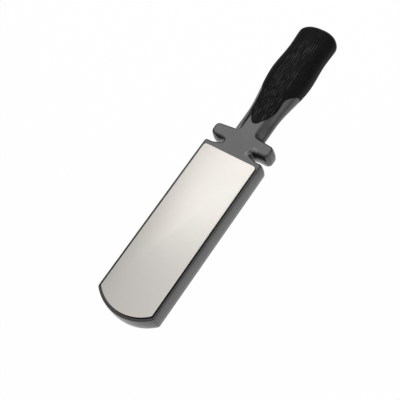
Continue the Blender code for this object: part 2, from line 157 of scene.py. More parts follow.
class FormSizes(bpy.types.PropertyGroup):
    """Sizes of the paddle's body and handle, measured from the plates' heel."""

    side: length("Half width", 27.3, "Half of the paddle's width")
    top: length("Half thickness", 8.3, "Height of the rim over the mid plane")
    edge: length("Edge round", 0.9, "Rounding of the paddle's edges")
    guard_edge: length("Guard edge round", 1.9, "Rounding of the guard's edges, across")
    edge_squash: number("Edge squash", 0.5, "How much wider than high the guard's rounding is")
    bulge: length("Wall bulge", 0.55, "How far the paddle's walls swell at the mid plane")
    guard_bulge: length("Guard bulge", 0.4, "How much more the guard's walls swell")
    tip_centre: length("Tip centre", -114.1, "Centre of the round tip")
    tip_radius: length("Tip radius", 38.9, "Radius of the round tip")
    tip_corner: length("Tip corner", 0.8, "Blend from the tip into the sides")
    shoulder: length("Shoulder", 4.0, "Where the paddle's shoulders end")
    shoulder_corner: length("Shoulder corner", 2.1, "Rounding of the shoulders")
    web: length("Web half width", 12.8, "Half width between the roots of the notches")
    web_foot: length("Notch foot", 6.6, "Lower end of a notch's root")
    web_head: length("Notch head", 10.4, "Upper end of a notch's root")
    web_end: length("Web end", 20.0, "Where the web ends inside the guard")
    flare: length("Flare", 21.0, "Where a notch's lower side meets the shoulder")
    foot_round: length("Foot round", 1.2, "Rounding of a notch's lower root corner")
    head_round: length("Head round", 1.5, "Rounding of a notch's upper root corner")
    lip: length("Lip", 17.5, "Where a notch's upper side meets the arm's front")
    arm_front: length("Arm front", 11.0, "Front of the guard's arms")
    arm_tip: length("Arm tip rear", 21.0, "Rear of the arms at their tips")
    arm_root: length("Arm root rear", 22.9, "Rear of the arms at the neck")
    arm_front_corner: length("Arm front corner", 3.9, "Rounding of the arms' front corners")
    arm_rear_corner: length("Arm rear corner", 3.0, "Rounding of the arms' rear corners")
    tongue: length("Tongue half width", 8.6, "Half width of the guard's tongue on the neck")
    tongue_edge: length("Tongue edge round", 3.8, "Rounding of the tongue's edges, across")
    tongue_fillet: length("Tongue fillet", 2.4, "Blend from the arms into the tongue")
    tongue_start: length("Tongue start", 23.2, "Where the tongue starts to slope down")
    tongue_end: length("Tongue end", 52.0, "Where the tongue has sunk into the neck")
    tongue_slope: number("Tongue slope", 0.045, "How steeply the tongue sinks into the neck")
    neck_wide: length("Neck half width", 14.1, "Half width of the neck")
    neck_thick: length("Neck half thickness", 7.9, "Half thickness of the neck")
    belly_wide: length("Belly half width", 18.8, "Half width of the belly")
    belly_thick: length("Belly half thickness", 12.7, "Half thickness of the belly")
    waist_wide: length("Waist half width", 17.3, "Half width of the waist")
    waist_thick: length("Waist half thickness", 11.8, "Half thickness of the waist")
    butt_wide: length("Butt half width", 17.8, "Half width of the butt")
    butt_thick: length("Butt half thickness", 12.0, "Half thickness of the butt")
    handle_start: length("Handle start", 13.6, "Where the handle's form starts in the guard")
    swell_wide: length("Swell start, wide", 42.0, "Where the handle starts to widen")
    swell_thick: length("Swell start, thick", 37.0, "Where the handle starts to thicken")
    belly_at: length("Belly place", 88.0, "Where the handle is thickest")
    waist_at: length("Waist place", 113.0, "Where the handle narrows again")
    butt_at: length("Butt place", 128.0, "Where the butt starts to round off")
    handle_end: length("Handle end", 137.0, "End of the handle")
    butt_round: length("Butt round", 9.0, "Rounding of the butt")
    blend: length("Neck blend", 1.2, "Fillet between the neck's flanks and the guard")
    seam_height: length("Seam height", 0.25, "Half height of the groove between the two shells")
    seam_depth: length("Seam depth", 0.08, "Depth of the groove between the two shells")
    neck_power: number("Neck power", 2.05, "Squareness of the neck's section")
    power: number("Section power", 2.4, "Squareness of the handle's section")


class PlateSizes(bpy.types.PropertyGroup):
    """Sizes of the sharpening plates."""

    half_width: length("Half width", 25.0, "Half of a plate's width")
    reach: length("Length", 150.4, "Length of a plate")
    thickness: length("Thickness", 1.0, "Thickness of a plate")
    tip_radius: length("Tip radius", 36.3, "Radius of the round tip")
    tip_corner: length("Tip corner", 1.8, "Rounding between the tip and the sides")
    heel_corner: length("Heel corner", 2.7, "Rounding of the heel's corners")
    edge_break: length("Edge break", 0.25, "Small slope around the plate's face")
    gap: length("Gap", 0.95, "Space between a plate and its recess")
    heel_gap: length("Heel gap", 0.1, "Space between a plate's heel and its recess")
    shift: length("Shift", -0.3, "How far a plate lies off the middle of its recess")
    recess: length("Recess depth", 1.7, "Depth of the recess under the rim")


class GripSizes(bpy.types.PropertyGroup):
    """Sizes of the soft grip."""

    front: length("Front", 33.4, "Where the grip's round nose starts")
    nose: length("Nose radius", 3.8, "Radius of the grip's round nose")
    taper: slant("Taper", 35.0, "Angle of the nose's sides to the middle line")
    cheek: length("Cheek half width", 7.4, "Half width where the nose's sides end")
    cheek_round: length("Cheek round", 6.0, "Rounding where the nose's sides end")
    pad_start: length("Pad start", 51.0, "Where the pad reaches its full width")
    pad: length("Pad half width", 10.6, "Half width of the grip between the body's rails")
    pad_round: length("Pad round", 8.0, "Rounding of the pad's bends")
    rail_end: length("Rail end", 62.0, "Where the grip starts to close over the rails")
    flare: slant("Flare", 33.0, "Angle at which the grip closes over the rails")
    gap: length("Gap", 0.25, "Groove between the grip and the body")
    rib_pitch: length("Rib pitch", 2.0, "Distance from rib to rib")
    rib_width: length("Rib width", 0.8, "Width of a rib")
    rib_height: length("Rib height", 0.25, "Height of a rib over the grip")
    rib_end: length("Rib end", 118.0, "Where the ribs end")
    rib_setback: length("Rib setback", 1.0, "Distance from the grip's edge to a rib's end")


class Finishes(bpy.types.PropertyGroup):
    """Colours of the finishes."""

    body: colour("Body", (0.027, 0.027, 0.026), "Moulded dark grey plastic")
    body_cool: colour("Body, cool", (0.020, 0.0195, 0.0225), "Cooler patches of the plastic")
    speck: colour("Body, specks", (0.06, 0.06, 0.062), "Fine specks in the plastic")
    scuff: colour("Scuff", (0.42, 0.42, 0.43), "Rubbed marks on the plastic")
    grip: colour("Grip", (0.0022, 0.0022, 0.0024), "Soft black grip")
    # The lighter streak tones of the grip and of the ribs are painted highlight
    grip_worn: colour("Grip, painted highlight", (0.009, 0.009, 0.010), "Painted highlight streaks of the grip")
    rib_worn: colour("Ribs, painted highlight", (0.090, 0.090, 0.092), "Painted highlight streaks of the ribs")
    steel: colour("Plate", (0.838, 0.800, 0.748), "Diamond grit in nickel, fine plate")
    steel_coarse: colour("Coarse plate", (0.62, 0.615, 0.60), "Diamond grit in nickel, coarse plate")
    # The plates' side walls are painted near black as shade for the gap around each plate
    steel_side: colour("Plate side", (0.018, 0.018, 0.019), "Side walls of the plates, painted dark as shade")
    film: colour("Film", (0.80, 0.80, 0.76), "Adhesive film")
    film_fibre: colour("Film, fibres", (0.66, 0.66, 0.62), "Fibres of the adhesive film")
    zinc: colour("Screw", (0.62, 0.63, 0.65), "Zinc plate")
    zinc_spangle: colour("Screw, spangle", (0.50, 0.51, 0.53), "Darker grains of the zinc")
    floor: colour("Floor", (0.86, 0.86, 0.86), "Plain pale floor")


class StageSizes(bpy.types.PropertyGroup):
    """Sizes of the studio."""

    floor_drop: length("Floor drop", 120.0, "How far the floor lies under the tool")
    floor_size: length("Floor size", 6000.0, "Width of the floor")
    lens: number("Lens", 78.18, "Focal length of the camera in millimetres")
    key_power: number("Key power", 1.25, "Watts of the soft box above and beyond the handle")
    fill_power: number("Fill power", 1.6, "Watts of the soft box at the right side")
    sky: number("Sky", 0.70, "How much brighter the sky is overhead than at the horizon")
    horizon: number("Horizon", 0.04, "Brightness of the sky at the horizon")


class PaddleSettings(bpy.types.PropertyGroup):
    """All settings of the tool."""

    form: bpy.props.PointerProperty(type=FormSizes)
    plate: bpy.props.PointerProperty(type=PlateSizes)
    grip: bpy.props.PointerProperty(type=GripSizes)
    finish: bpy.props.PointerProperty(type=Finishes)
    stage: bpy.props.PointerProperty(type=StageSizes)


# Node trees written as Python expressions


class Web:
    """Adds nodes to a tree and links them."""

    def __init__(self, tree):
        self.tree = tree

    def add(self, kind, settings=None, sockets=None, output=0):
        """Add a node, apply its settings, feed its sockets and return one output."""
        node = self.tree.nodes.new(kind)
        for name, value in (settings or {}).items():
            setattr(node, name, value)
        for key, value in (sockets or {}).items():
            self.feed(node.inputs[key], value)
        return Wire(self, node.outputs[output])

    def vector(self, operation, *values, **named):
        """Add a Vector Math node and return its first output."""
        sockets = {**dict(enumerate(values)), **named}
        return self.add("ShaderNodeVectorMath", {"operation": operation}, sockets)

    def offset(self, **parts):
        """Join numbers, each named X, Y or Z, into a vector."""
        return self.add("ShaderNodeCombineXYZ", None, parts)

    def feed(self, socket, value):
        """Link a wire to a socket, or set the socket to a plain value."""
        if isinstance(value, Wire):
            self.tree.links.new(value.socket, socket)
        else:
            socket.default_value = value


class Wire:
    """An output socket whose arithmetic adds Math nodes."""

    def __init__(self, web, socket):
        self.web = web
        self.socket = socket

    def math(self, operation, *others):
        """Add a Math node with this socket as its first value."""
        return self.web.add(
            "ShaderNodeMath", {"operation": operation}, dict(enumerate((self, *others)))
        )

    def __add__(self, other):
        return self.math("ADD", other)

    __radd__ = __add__

    def __sub__(self, other):
        return self.math("SUBTRACT", other)

    def __rsub__(self, other):
        return self.web.add("ShaderNodeMath", {"operation": "SUBTRACT"}, {0: other, 1: self})

    def __mul__(self, other):
        return self.math("MULTIPLY", other)

    __rmul__ = __mul__

    def __truediv__(self, other):
        return self.math("DIVIDE", other)

    def __rtruediv__(self, other):
        return self.web.add("ShaderNodeMath", {"operation": "DIVIDE"}, {0: other, 1: self})

    def __pow__(self, other):
        return self.math("POWER", other)

    def __neg__(self):
        return self * -1.0

    def __abs__(self):
        return self.math("ABSOLUTE")

    def at_least(self, other):
        """Return the larger of two values."""
        return self.math("MAXIMUM", other)

    def at_most(self, other):
        """Return the smaller of two values."""
        return self.math("MINIMUM", other)

    def ease(self, low, high):
        """Rise smoothly from 0 at low to 1 at high."""
        return self.web.add(
            "ShaderNodeMapRange",
            {"interpolation_type": "SMOOTHSTEP"},
            {"Value": self, "From Min": low, "From Max": high},
        )


def split(vector):
    """Return the three parts of a vector."""
    node = vector.web.add("ShaderNodeSeparateXYZ", None, {0: vector}).socket.node
    return [Wire(vector.web, output) for output in node.outputs]


# The body's form as a distance field: negative inside, zero on the surface


def overlap(first, second, radius):
    """Return the field of what two forms share, with their edge rounded."""
    one = (first + radius).at_least(0.0)
    other = (second + radius).at_least(0.0)
    outside = (one * one + other * other).math("SQRT")
    return first.at_least(second).at_most(-radius) + outside


def union(first, second, radius):
    """Return the field of two forms joined, with a fillet between them."""
    return -overlap(-first, -second, radius)


def off_line(across, along, corner, run, rise):
    """Return the flat distance to a slanted line through a corner."""
    long = (run * run + rise * rise).math("SQRT")
    return ((across - corner[0]) * rise + (along - corner[1]) * run) / long


def plan_field(across, along, size):
    """Return the flat distance to the outline of the paddle, the guard and the tongue."""
    side = across - size["side"]
    before = (along - size["tip_centre"]).at_most(0.0)
    end = (across * across + before * before).math("SQRT") - size["tip_radius"]
    paddle = overlap(side, end, size["tip_corner"])

    foot = (size["web"], size["web_foot"])
    fall = size["web_foot"] - size["shoulder"]
    lower = off_line(across, along, foot, size["flare"] - size["web"], fall)
    shoulder = (along - size["shoulder"]).at_most(lower)
    paddle = overlap(paddle, shoulder, size["shoulder_corner"])

    head = (size["web"], size["web_head"])
    rise = size["arm_front"] - size["web_head"]
    upper = off_line(across, along, head, size["web"] - size["lip"], rise)
    front = (size["arm_front"] - along).at_most(upper)
    arms = overlap(side, front, size["arm_front_corner"])
    tip = (size["side"], size["arm_tip"])
    rise = size["arm_root"] - size["arm_tip"]
    rear = off_line(across, along, tip, size["side"] - size["tongue"], rise)
    arms = overlap(arms, rear, size["arm_rear_corner"])

    web = (across - size["web"]).at_least((along - size["web_end"]).at_least(-along))
    whole = union(paddle, web, size["foot_round"])
    whole = union(whole, arms, size["head_round"])

    tongue = (size["handle_start"] - along).at_least(along - size["tongue_end"])
    tongue = tongue.at_least(across - size["tongue"])
    return union(whole, tongue, size["tongue_fillet"])


def swelling(along, size, measure, start):
    """Return a handle size along the handle, eased from station to station."""
    neck, belly = size["neck_" + measure], size["belly_" + measure]
    waist, butt = size["waist_" + measure], size["butt_" + measure]
    result = neck + along.ease(start, size["belly_at"]) * (belly - neck)
    result = result + along.ease(size["belly_at"], size["waist_at"]) * (waist - belly)
    return result + along.ease(size["waist_at"], size["butt_at"]) * (butt - waist)


def handle_field(across, along, up, size):
    """Return the field of the handle: a squared oval section that swells along it."""
    wide = swelling(along, size, "wide", size["swell_wide"])
    thick = swelling(along, size, "thick", size["swell_thick"])
    rise = along.ease(size["swell_wide"], size["belly_at"])
    power = size["neck_power"] + rise * (size["power"] - size["neck_power"])
    section = (across / wide) ** power + (up / thick) ** power
    oval = (section ** (1.0 / power) - 1.0) * thick
    capped = overlap(oval, along - size["handle_end"], size["butt_round"])
    return capped.at_least(size["handle_start"] - along)


def body_field(web, size):
    """Return the field of the whole body over the mid plane."""
    x, y, z = split(web.add("GeometryNodeInputPosition"))
    across = abs(x)
    along = y - HEEL
    up = abs(z)
    height = up / size["top"]
    guard = along.ease(*GUARD_EASE)
    bulge = (1.0 - height * height) * (size["bulge"] + guard * size["guard_bulge"])
    plan = plan_field(across, along, size) - bulge
    sink = (along - size["tongue_start"]).at_least(0.0) * size["tongue_slope"]
    tongue = along.ease(*TONGUE_EASE)
    edge = size["edge"] + guard * (size["guard_edge"] - size["edge"])
    edge = edge + tongue * (size["tongue_edge"] - size["guard_edge"])
    squash = guard * size["edge_squash"] + 1.0
    slab = overlap(plan, (up - size["top"] + sink) * squash, edge)
    handle = handle_field(across, along, up, size)
    fillet = (size["top"] - FILLET_DEPTH - up).at_most(size["blend"]).at_least(LEAST_FILLET)
    return union(slab, handle, fillet)


# Geometry trees: the body's form and the grip's ribs


def open_tree(name, counts, sizes):
    """Start a geometry tree with named inputs, and return its web and the inputs' wires."""
    tree = bpy.data.node_groups.new(name, "GeometryNodeTree")
    face = tree.interface
    face.new_socket("Geometry", in_out="OUTPUT", socket_type="NodeSocketGeometry")
    inputs = [("Geometry", "Geometry"), ("Finish", "Material")]
    inputs += [(label, "Int") for label in counts] + [(label, "Float") for label in sizes]
    for label, kind in inputs:
        face.new_socket(label, in_out="INPUT", socket_type="NodeSocket" + kind)
    web = Web(tree)
    start = tree.nodes.new("NodeGroupInput")
    return web, {item.name: Wire(web, item) for item in start.outputs if item.name}


def close_tree(web, mesh, finish):
    """End a geometry tree with real geometry in its finish, and return the tree."""
    mesh = web.add("GeometryNodeRealizeInstances", None, {"Geometry": mesh})
    mesh = web.add("GeometryNodeSetMaterial", None, {"Geometry": mesh, "Material": finish})
    end = web.tree.nodes.new("NodeGroupOutput")
    web.tree.links.new(mesh.socket, end.inputs["Geometry"])
    return web.tree


def form_tree(sizes):
    """Build the tree that turns the body's field into a mesh, with its sizes as inputs."""
    web, size = open_tree("paddle_form", (), sizes)
    field = body_field(web, size)
    box = {"Min": FIELD_LOW, "Max": FIELD_HIGH}
    for axis, low, high in zip("XYZ", FIELD_LOW, FIELD_HIGH):
        box["Resolution " + axis] = round((high - low) / CELL)
    density = FIELD_LEVEL - field / CELL
    volume = web.add("GeometryNodeVolumeCube", None, {"Density": density, **box})
    mesh = web.add("GeometryNodeVolumeToMesh", None, {"Volume": volume, "Threshold": FIELD_LEVEL})
    for _ in range(PULLS):
        short = field.at_most(CELL / 2).at_least(-CELL / 2)
        normal = web.add("GeometryNodeInputNormal")
        step = web.vector("SCALE", normal, Scale=-short)
        mesh = web.add("GeometryNodeSetPosition", None, {"Geometry": mesh, "Offset": step})
    return close_tree(web, mesh, size["Finish"])


def rib_tree():
    """Build the tree that lays lengthwise ribs on the surface that it is given."""
    sizes = ("pitch", "width", "start", "end", "setback", "sink")
    web, given = open_tree("grip_ribs", ("count", "steps"), sizes)
    half = (given["count"] - 1.0) * given["pitch"] / 2
    spacing = {"Start Location": web.offset(X=-half), "Offset": web.offset(X=given["pitch"])}
    row = web.add("GeometryNodeMeshLine", {"mode": "OFFSET"}, {"Count": given["count"], **spacing})
    ends = {"Start": web.offset(Y=given["start"]), "End": web.offset(Y=given["end"])}
    line = web.add("GeometryNodeCurvePrimitiveLine", None, ends)
    line = web.add("GeometryNodeResampleCurve", None, {"Curve": line, "Count": given["steps"]})
    lines = web.add("GeometryNodeInstanceOnPoints", None, {"Points": row, "Instance": line})
    lines = web.add("GeometryNodeRealizeInstances", None, {"Geometry": lines})

    over = web.vector("ADD", web.add("GeometryNodeInputPosition"), RAY_START)
    behind = web.vector("ADD", over, web.offset(Y=-given["setback"]))
    cast = {
        "Target Geometry": given["Geometry"],
        "Ray Direction": (0, 0, -1),
        "Ray Length": RAY_LENGTH,
    }
    found = web.add("GeometryNodeRaycast", None, {**cast, "Source Position": behind})
    missed = {"Geometry": lines, "Selection": 1.0 - found}
    lines = web.add("GeometryNodeDeleteGeometry", {"domain": "POINT"}, missed)
    landed = web.add("GeometryNodeRaycast", None, {**cast, "Source Position": over}, output=1)
    sunk = {"Geometry": lines, "Position": landed, "Offset": web.offset(Z=-given["sink"])}
    lines = web.add("GeometryNodeSetPosition", None, sunk)

    circle = {"Resolution": RIB_SIDES, "Radius": given["width"] / 2}
    ring = web.add("GeometryNodeCurvePrimitiveCircle", None, circle)
    swept = {"Curve": lines, "Profile Curve": ring, "Fill Caps": True}
    ribs = web.add("GeometryNodeCurveToMesh", None, swept)
    return close_tree(web, ribs, given["Finish"])


# Meshes: made by a tree, cut, mirrored, joined and placed


def run_tree(name, tree, values, carrier=None):
    """Evaluate a tree on an object with the given inputs and return the plain mesh."""
    mesh = carrier or bpy.data.meshes.new(name)
    holder = bpy.data.objects.new(name + "_maker", mesh)
    bpy.context.scene.collection.objects.link(holder)
    step = holder.modifiers.new("maker", "NODES")
    step.node_group = tree
    sockets = {item.name: item.identifier for item in tree.interface.items_tree}
    for label, value in values.items():
        step[sockets[label]] = value
    return bake(holder)


def bake(holder):
    """Turn an object with its modifiers into a plain mesh and remove the object."""
    graph = bpy.context.evaluated_depsgraph_get()
    mesh = bpy.data.meshes.new_from_object(holder.evaluated_get(graph))
    bpy.data.objects.remove(holder, do_unlink=True)
    return mesh


def body_mesh(form, finish):
    """Return the whole upper half of the body, from a little under the mid plane."""
    sizes = {name: getattr(form, name) for name in FormSizes.__annotations__}
    return run_tree("body_form", form_tree(sizes), {"Finish": finish, **sizes})


def carved(mesh, steps):
    """Cut a mesh with cutter meshes, each given with its operation."""
    holder = bpy.data.objects.new("carved", mesh)
    bpy.context.scene.collection.objects.link(holder)
    tools = []
    for tool_mesh, operation in steps:
        tool = bpy.data.objects.new("tool", tool_mesh)
        bpy.context.scene.collection.objects.link(tool)
        step = holder.modifiers.new("carve", "BOOLEAN")
        step.operation = operation
        step.solver = "MANIFOLD"
        step.object = tool
        tools.append(tool)
    result = bake(holder)
    for tool in tools:
        bpy.data.objects.remove(tool, do_unlink=True)
    return result


def above(mesh, height, groove=None):
    """Keep what lies over a height, cut a groove (height, depth) if given, and close the cut."""
    form = bmesh.new()
    form.from_mesh(mesh)
    everything = form.verts[:] + form.edges[:] + form.faces[:]
    result = bmesh.ops.bisect_plane(
        form, geom=everything, plane_co=(0, 0, height), plane_no=(0, 0, 1), clear_inner=True
    )
    rims = [item for item in result["geom_cut"] if isinstance(item, bmesh.types.BMEdge)]
    if groove:
        top, depth = groove
        form.normal_update()
        for vert in form.verts:
            share = (top - vert.co.z) / (top - height)
            if share > 0.0:
                vert.co.xy -= vert.normal.xy.normalized() * depth * share
    bmesh.ops.edgeloop_fill(form, edges=rims)
    bmesh.ops.recalc_face_normals(form, faces=form.faces)
    form.to_mesh(mesh)
    form.free()
    return mesh


def mirrored(mesh, name):
    """Return a copy of a mesh mirrored in the mid plane, with its faces outward."""
    copy = mesh.copy()
    copy.name = name
    copy.transform(Matrix.Diagonal((1, 1, -1, 1)))
    copy.flip_normals()
    return copy


def joined(name, upper, lower):
    """Join two halves that meet on the mid plane into one closed skin."""
    form = bmesh.new()
    form.from_mesh(upper)
    form.from_mesh(lower)
    flat = [face for face in form.faces if all(abs(v.co.z) < FLAT_LIMIT for v in face.verts)]
    bmesh.ops.delete(form, geom=flat, context="FACES_ONLY")
    bmesh.ops.remove_doubles(form, verts=form.verts, dist=MERGE_DISTANCE)
    bmesh.ops.recalc_face_normals(form, faces=form.faces)
    mesh = bpy.data.meshes.new(name)
    form.to_mesh(mesh)
    form.free()
    return mesh


def placed(name, mesh, material, slot, *nodes):
    """Make a finished piece of a mesh and tie it to the frame."""
    mesh.name = name
    mesh.materials.clear()
    mesh.materials.append(material)
    mesh.polygons.foreach_set("material_index", [0] * len(mesh.polygons))
    mesh.shade_smooth()
    mesh.set_sharp_from_angle(angle=SHARP_ANGLE)
    piece = bpy.data.objects.new(name, mesh)
    bpy.context.scene.collection.objects.link(piece)
    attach(piece, BODY)
    if nodes:
        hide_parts(*nodes)


# Flat outlines and the prisms made from them


def arc(centre, radius, start, end, steps):
    """Return points on an arc from one angle to another, both in radians."""
    turns = [start + (end - start) * step / steps for step in range(steps + 1)]
    return [
        (centre[0] + radius * math.cos(turn), centre[1] + radius * math.sin(turn))
        for turn in turns
    ]


def rounded(corners):
    """Return the outline through corners (x, y, radius), with each corner rounded."""
    points = []
    for place, (x, y, radius) in enumerate(corners):
        corner = Vector((x, y))
        back = (Vector(corners[place - 1][:2]) - corner).normalized()
        ahead = (Vector(corners[(place + 1) % len(corners)][:2]) - corner).normalized()
        half = back.angle(ahead) / 2
        centre = corner + (back + ahead).normalized() * (radius / math.sin(half))
        spoke = corner + back * (radius / math.tan(half)) - centre
        turn = math.copysign(math.pi - 2 * half, ahead.cross(back))
        steps = max(1, math.ceil(abs(turn) / ARC_STEP)) if radius else 0
        for step in range(steps + 1):
            angle = turn * step / steps if steps else 0.0
            points.append(tuple(centre + Matrix.Rotation(angle, 2) @ spoke))
    return points


def plate_outline(plate, outset, behind):
    """Return the outline of a plate, drawn out by outset, and by behind at the heel."""
    half = plate.half_width + outset
    radius = plate.tip_radius + outset
    centre = (0.0, HEEL + plate.tip_radius - plate.reach)
    small = plate.tip_corner
    across = half - small
    drop = math.sqrt((radius - small) ** 2 - across**2)
    blend = math.atan2(-drop, across)
    heel = plate.heel_corner + outset
    right = arc(centre, radius, -math.pi / 2, blend, steps=40)
    right += arc((across, centre[1] - drop), small, blend, 0.0, steps=8)[1:]
    right += arc((half - heel, HEEL + behind - heel), heel, 0.0, math.pi / 2, steps=10)
    # The point at the tip comes twice: the shading of the plate's face depends on it
    return right + [(-x, y) for x, y in reversed(right)]


def prism(name, layers):
    """Join outlines of equal length, each with its height, from low to high, into a solid."""
    form = bmesh.new()
    rings = [[form.verts.new((x, y, z)) for x, y in outline] for outline, z in layers]
    form.faces.new(reversed(rings[0]))
    form.faces.new(rings[-1])
    for low, high in zip(rings, rings[1:]):
        for step in range(len(low)):
            after = (step + 1) % len(low)
            form.faces.new((low[step], low[after], high[after], high[step]))
    bmesh.ops.recalc_face_normals(form, faces=form.faces)
    mesh = bpy.data.meshes.new(name)
    form.to_mesh(mesh)
    form.free()
    return mesh


def grip_outline(grip, outset):
    """Return the grip's outline in plan: a round nose, a pad, and sides over the rails."""
    nose = grip.nose + outset
    half = grip.pad + outset
    cheek = grip.cheek + outset
    apex = grip.front + grip.nose - nose / math.sin(grip.taper)
    cheek_at = apex + cheek / math.tan(grip.taper)
    rail_end = grip.rail_end - outset * math.tan(grip.flare / 2)
    side_at = rail_end + GRIP_CUT_SIDE / math.tan(grip.flare)
    right = [
        (0.0, HEEL + apex, nose),
        (cheek, HEEL + cheek_at, grip.cheek_round),
        (half, HEEL + grip.pad_start, grip.pad_round),
        (half, HEEL + rail_end, grip.pad_round),
        (half + GRIP_CUT_SIDE, HEEL + side_at, 0.0),
        (half + GRIP_CUT_SIDE, HEEL + GRIP_CUT_END, 0.0),
    ]
    return rounded(right + [(-x, y, radius) for x, y, radius in reversed(right[1:])])


def grip_block(name, grip, outset):
    """Return a tall block over the grip's outline, to cut or to keep with."""
    outline = grip_outline(grip, outset)
    return prism(name, [(outline, -CUTTER_HEIGHT), (outline, CUTTER_HEIGHT)])


# Finishes


def new_material(name):
    """Return a material with its shader, ready for more nodes."""
    material = bpy.data.materials.new(name)
    material.use_nodes = True
    shader = material.node_tree.nodes["Principled BSDF"]
    return material, Web(material.node_tree), shader


def feed(web, shader, **sockets):
    """Feed a shader's sockets, where an underscore stands for a space."""
    for name, value in sockets.items():
        web.feed(shader.inputs[name.replace("_", " ")], value)


def object_place(web, stretch=(1.0, 1.0, 1.0)):
    """Return the place on the object, stretched for patterns that run one way."""
    place = web.add("ShaderNodeTexCoord", output="Object")
    return web.add("ShaderNodeMapping", None, {"Vector": place, "Scale": stretch})


def noise(web, place, scale, detail=2.0):
    """Return a noise value between 0 and 1."""
    sockets = {"Vector": place, "Scale": scale, "Detail": detail}
    return web.add("ShaderNodeTexNoise", None, sockets)


def mixed(web, share, first, second):
    """Return a colour between two colours, each a wire or plain numbers."""
    sides = [side if isinstance(side, Wire) else (*side, 1.0) for side in (first, second)]
    sockets = {0: share, 6: sides[0], 7: sides[1]}
    return web.add("ShaderNodeMix", {"data_type": "RGBA"}, sockets, output=2)


def near(web, centre, reach):
    """Return 1 at a place on the upper and the lower face, and 0 beyond its reach."""
    x, y, z = split(web.add("ShaderNodeTexCoord", output="Object"))
    x, y, z = x - centre[0], y - centre[1], abs(z) - centre[2]
    distance = (x * x + y * y + z * z).math("SQRT")
    return 1.0 - distance.ease(0.3 * reach, reach)


def bump(web, height, strength, distance):
    """Return a normal bent by a height."""
    sockets = {"Strength": strength, "Distance": distance, "Height": height}
    return web.add("ShaderNodeBump", None, sockets)


def plastic_finish(finish):
    """Moulded plastic with a fine grain, cooler patches, specks and two rubbed places."""
    material, web, shader = new_material("grey_body_plastic")
    place = object_place(web)
    patches = noise(web, place, scale=75.0, detail=3.0).ease(0.36, 0.64)
    grain = noise(web, place, scale=2600.0)
    specks = noise(web, place, scale=900.0, detail=3.0).ease(0.30, 0.75)
    marks = noise(web, place, scale=1100.0, detail=3.0).ease(0.50, 0.62)
    root = near(web, NOTCH_ROOT, SCUFF_REACH)
    lip = near(web, NOTCH_LIP, SCUFF_REACH)
    rubbed = marks * (root + lip).at_most(1.0)
    shade = mixed(web, patches, finish.body, finish.body_cool)
    shade = mixed(web, specks * 0.14, shade, finish.speck)
    shade = mixed(web, rubbed * 0.75, shade, finish.scuff)
    feed(
        web,
        shader,
        Base_Color=shade,
        Roughness=0.12 + grain * 0.06 + patches * 0.06 + rubbed * 0.2,
        Normal=bump(web, grain, strength=0.05, distance=0.00005),
        IOR=1.52,
        Specular_IOR_Level=0.77,
    )
    return material


def rubber_finish(name, tone, highlight_streaks, gloss):
    """Soft black rubber with a fine lengthwise grain, and lighter streaks painted on as highlight.
    """
    material, web, shader = new_material(name)
    # Lengthwise streaks of painted highlight, in a lighter tone
    streaks = noise(web, object_place(web, (1.0, 0.06, 1.0)), scale=1500.0)
    grain = noise(web, object_place(web), scale=2200.0)
    feed(
        web,
        shader,
        Base_Color=mixed(web, streaks.ease(0.40, 0.80), tone, highlight_streaks),
        Roughness=0.52 + grain * 0.16,
        Normal=bump(web, grain + streaks * 0.6, strength=0.25, distance=0.00008),
        Specular_IOR_Level=gloss,
    )
    return material


def plate_finish(name, tone, side, grit, depth, roughness):
    """Nickel plate with diamond grit: a fine even sparkle over satin metal, and side walls painted
    dark as shade.
    """
    material, web, shader = new_material(name)
    place = object_place(web)
    cells = web.add("ShaderNodeTexVoronoi", None, {"Vector": place, "Scale": grit}, "Distance")
    haze = noise(web, place, scale=34.0, detail=1.0).ease(0.35, 0.65)
    cool = (tone[0] * 0.985, tone[1], tone[2] * 1.01)
    dark = [part * 0.80 for part in tone]
    height = abs(split(web.add("ShaderNodeTexCoord", output="Object"))[2])
    # Below the face the plate is painted dark: painted shade for the gap at its side
    face = height.ease(*SIDE_SHADE_EASE)
    shade = mixed(web, haze, tone, cool)
    shade = mixed(web, cells.ease(0.1, 0.6) * 0.35, shade, dark)
    grains = cells + noise(web, place, scale=grit * 1.7)
    feed(
        web,
        shader,
        Base_Color=mixed(web, face, side, shade),
        Roughness=roughness + cells * 0.10 + haze * 0.015,
        Normal=bump(web, grains, strength=depth, distance=0.00005),
        Metallic=0.70,
    )
    return material


def film_finish(finish):
    """Dull adhesive film with a faint weave."""
    material, web, shader = new_material("adhesive_film")
    fibres = noise(web, object_place(web, (1.0, 3.0, 1.0)), scale=700.0)
    shade = mixed(web, fibres * 0.3, finish.film, finish.film_fibre)
    feed(web, shader, Base_Color=shade, Roughness=0.55 + fibres * 0.15)
    return material


def zinc_finish(finish):
    """Bright zinc plate with faint spangle."""
    material, web, shader = new_material("zinc_plated_screw")
    spangle = noise(web, object_place(web), scale=1200.0)
    shade = mixed(web, spangle * 0.4, finish.zinc, finish.zinc_spangle)
    feed(web, shader, Base_Color=shade, Roughness=0.24 + spangle * 0.14, Metallic=1.0)
    return material


def dress_node(name, material):
    """Give a node of the frame a better finish."""
    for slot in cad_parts[name].material_slots:
        slot.material = material


# Operators


class PADDLE_OT_body(bpy.types.Operator):
    """Make the two body shells, with their recesses and the cut for the grip"""

    bl_idname = "paddle.body"
    bl_label = "Body Shells"

    def execute(self, context):
        settings = context.scene.paddle
        form, plate = settings.form, settings.plate
        finish = plastic_finish(settings.finish)
        seam = (form.seam_height, form.seam_depth)
        half = above(body_mesh(form, finish), SEAM_GAP / 2, seam)
        wall = plate_outline(plate, plate.gap, plate.heel_gap)
        heights = (form.top - plate.recess, form.top + plate.thickness)
        recess = prism("recess", [(wall, height) for height in heights])
        cut = grip_block("grip_cut", settings.grip, settings.grip.gap)
        shell = carved(half, [(recess, "DIFFERENCE"), (cut, "DIFFERENCE")])
        lower = mirrored(shell, "lower_shell")
        placed("upper_shell", shell, finish, "grey_body_plastic", "upper_body_shell")
        placed("lower_shell", lower, finish, "grey_body_plastic", "lower_body_shell")
        return {"FINISHED"}


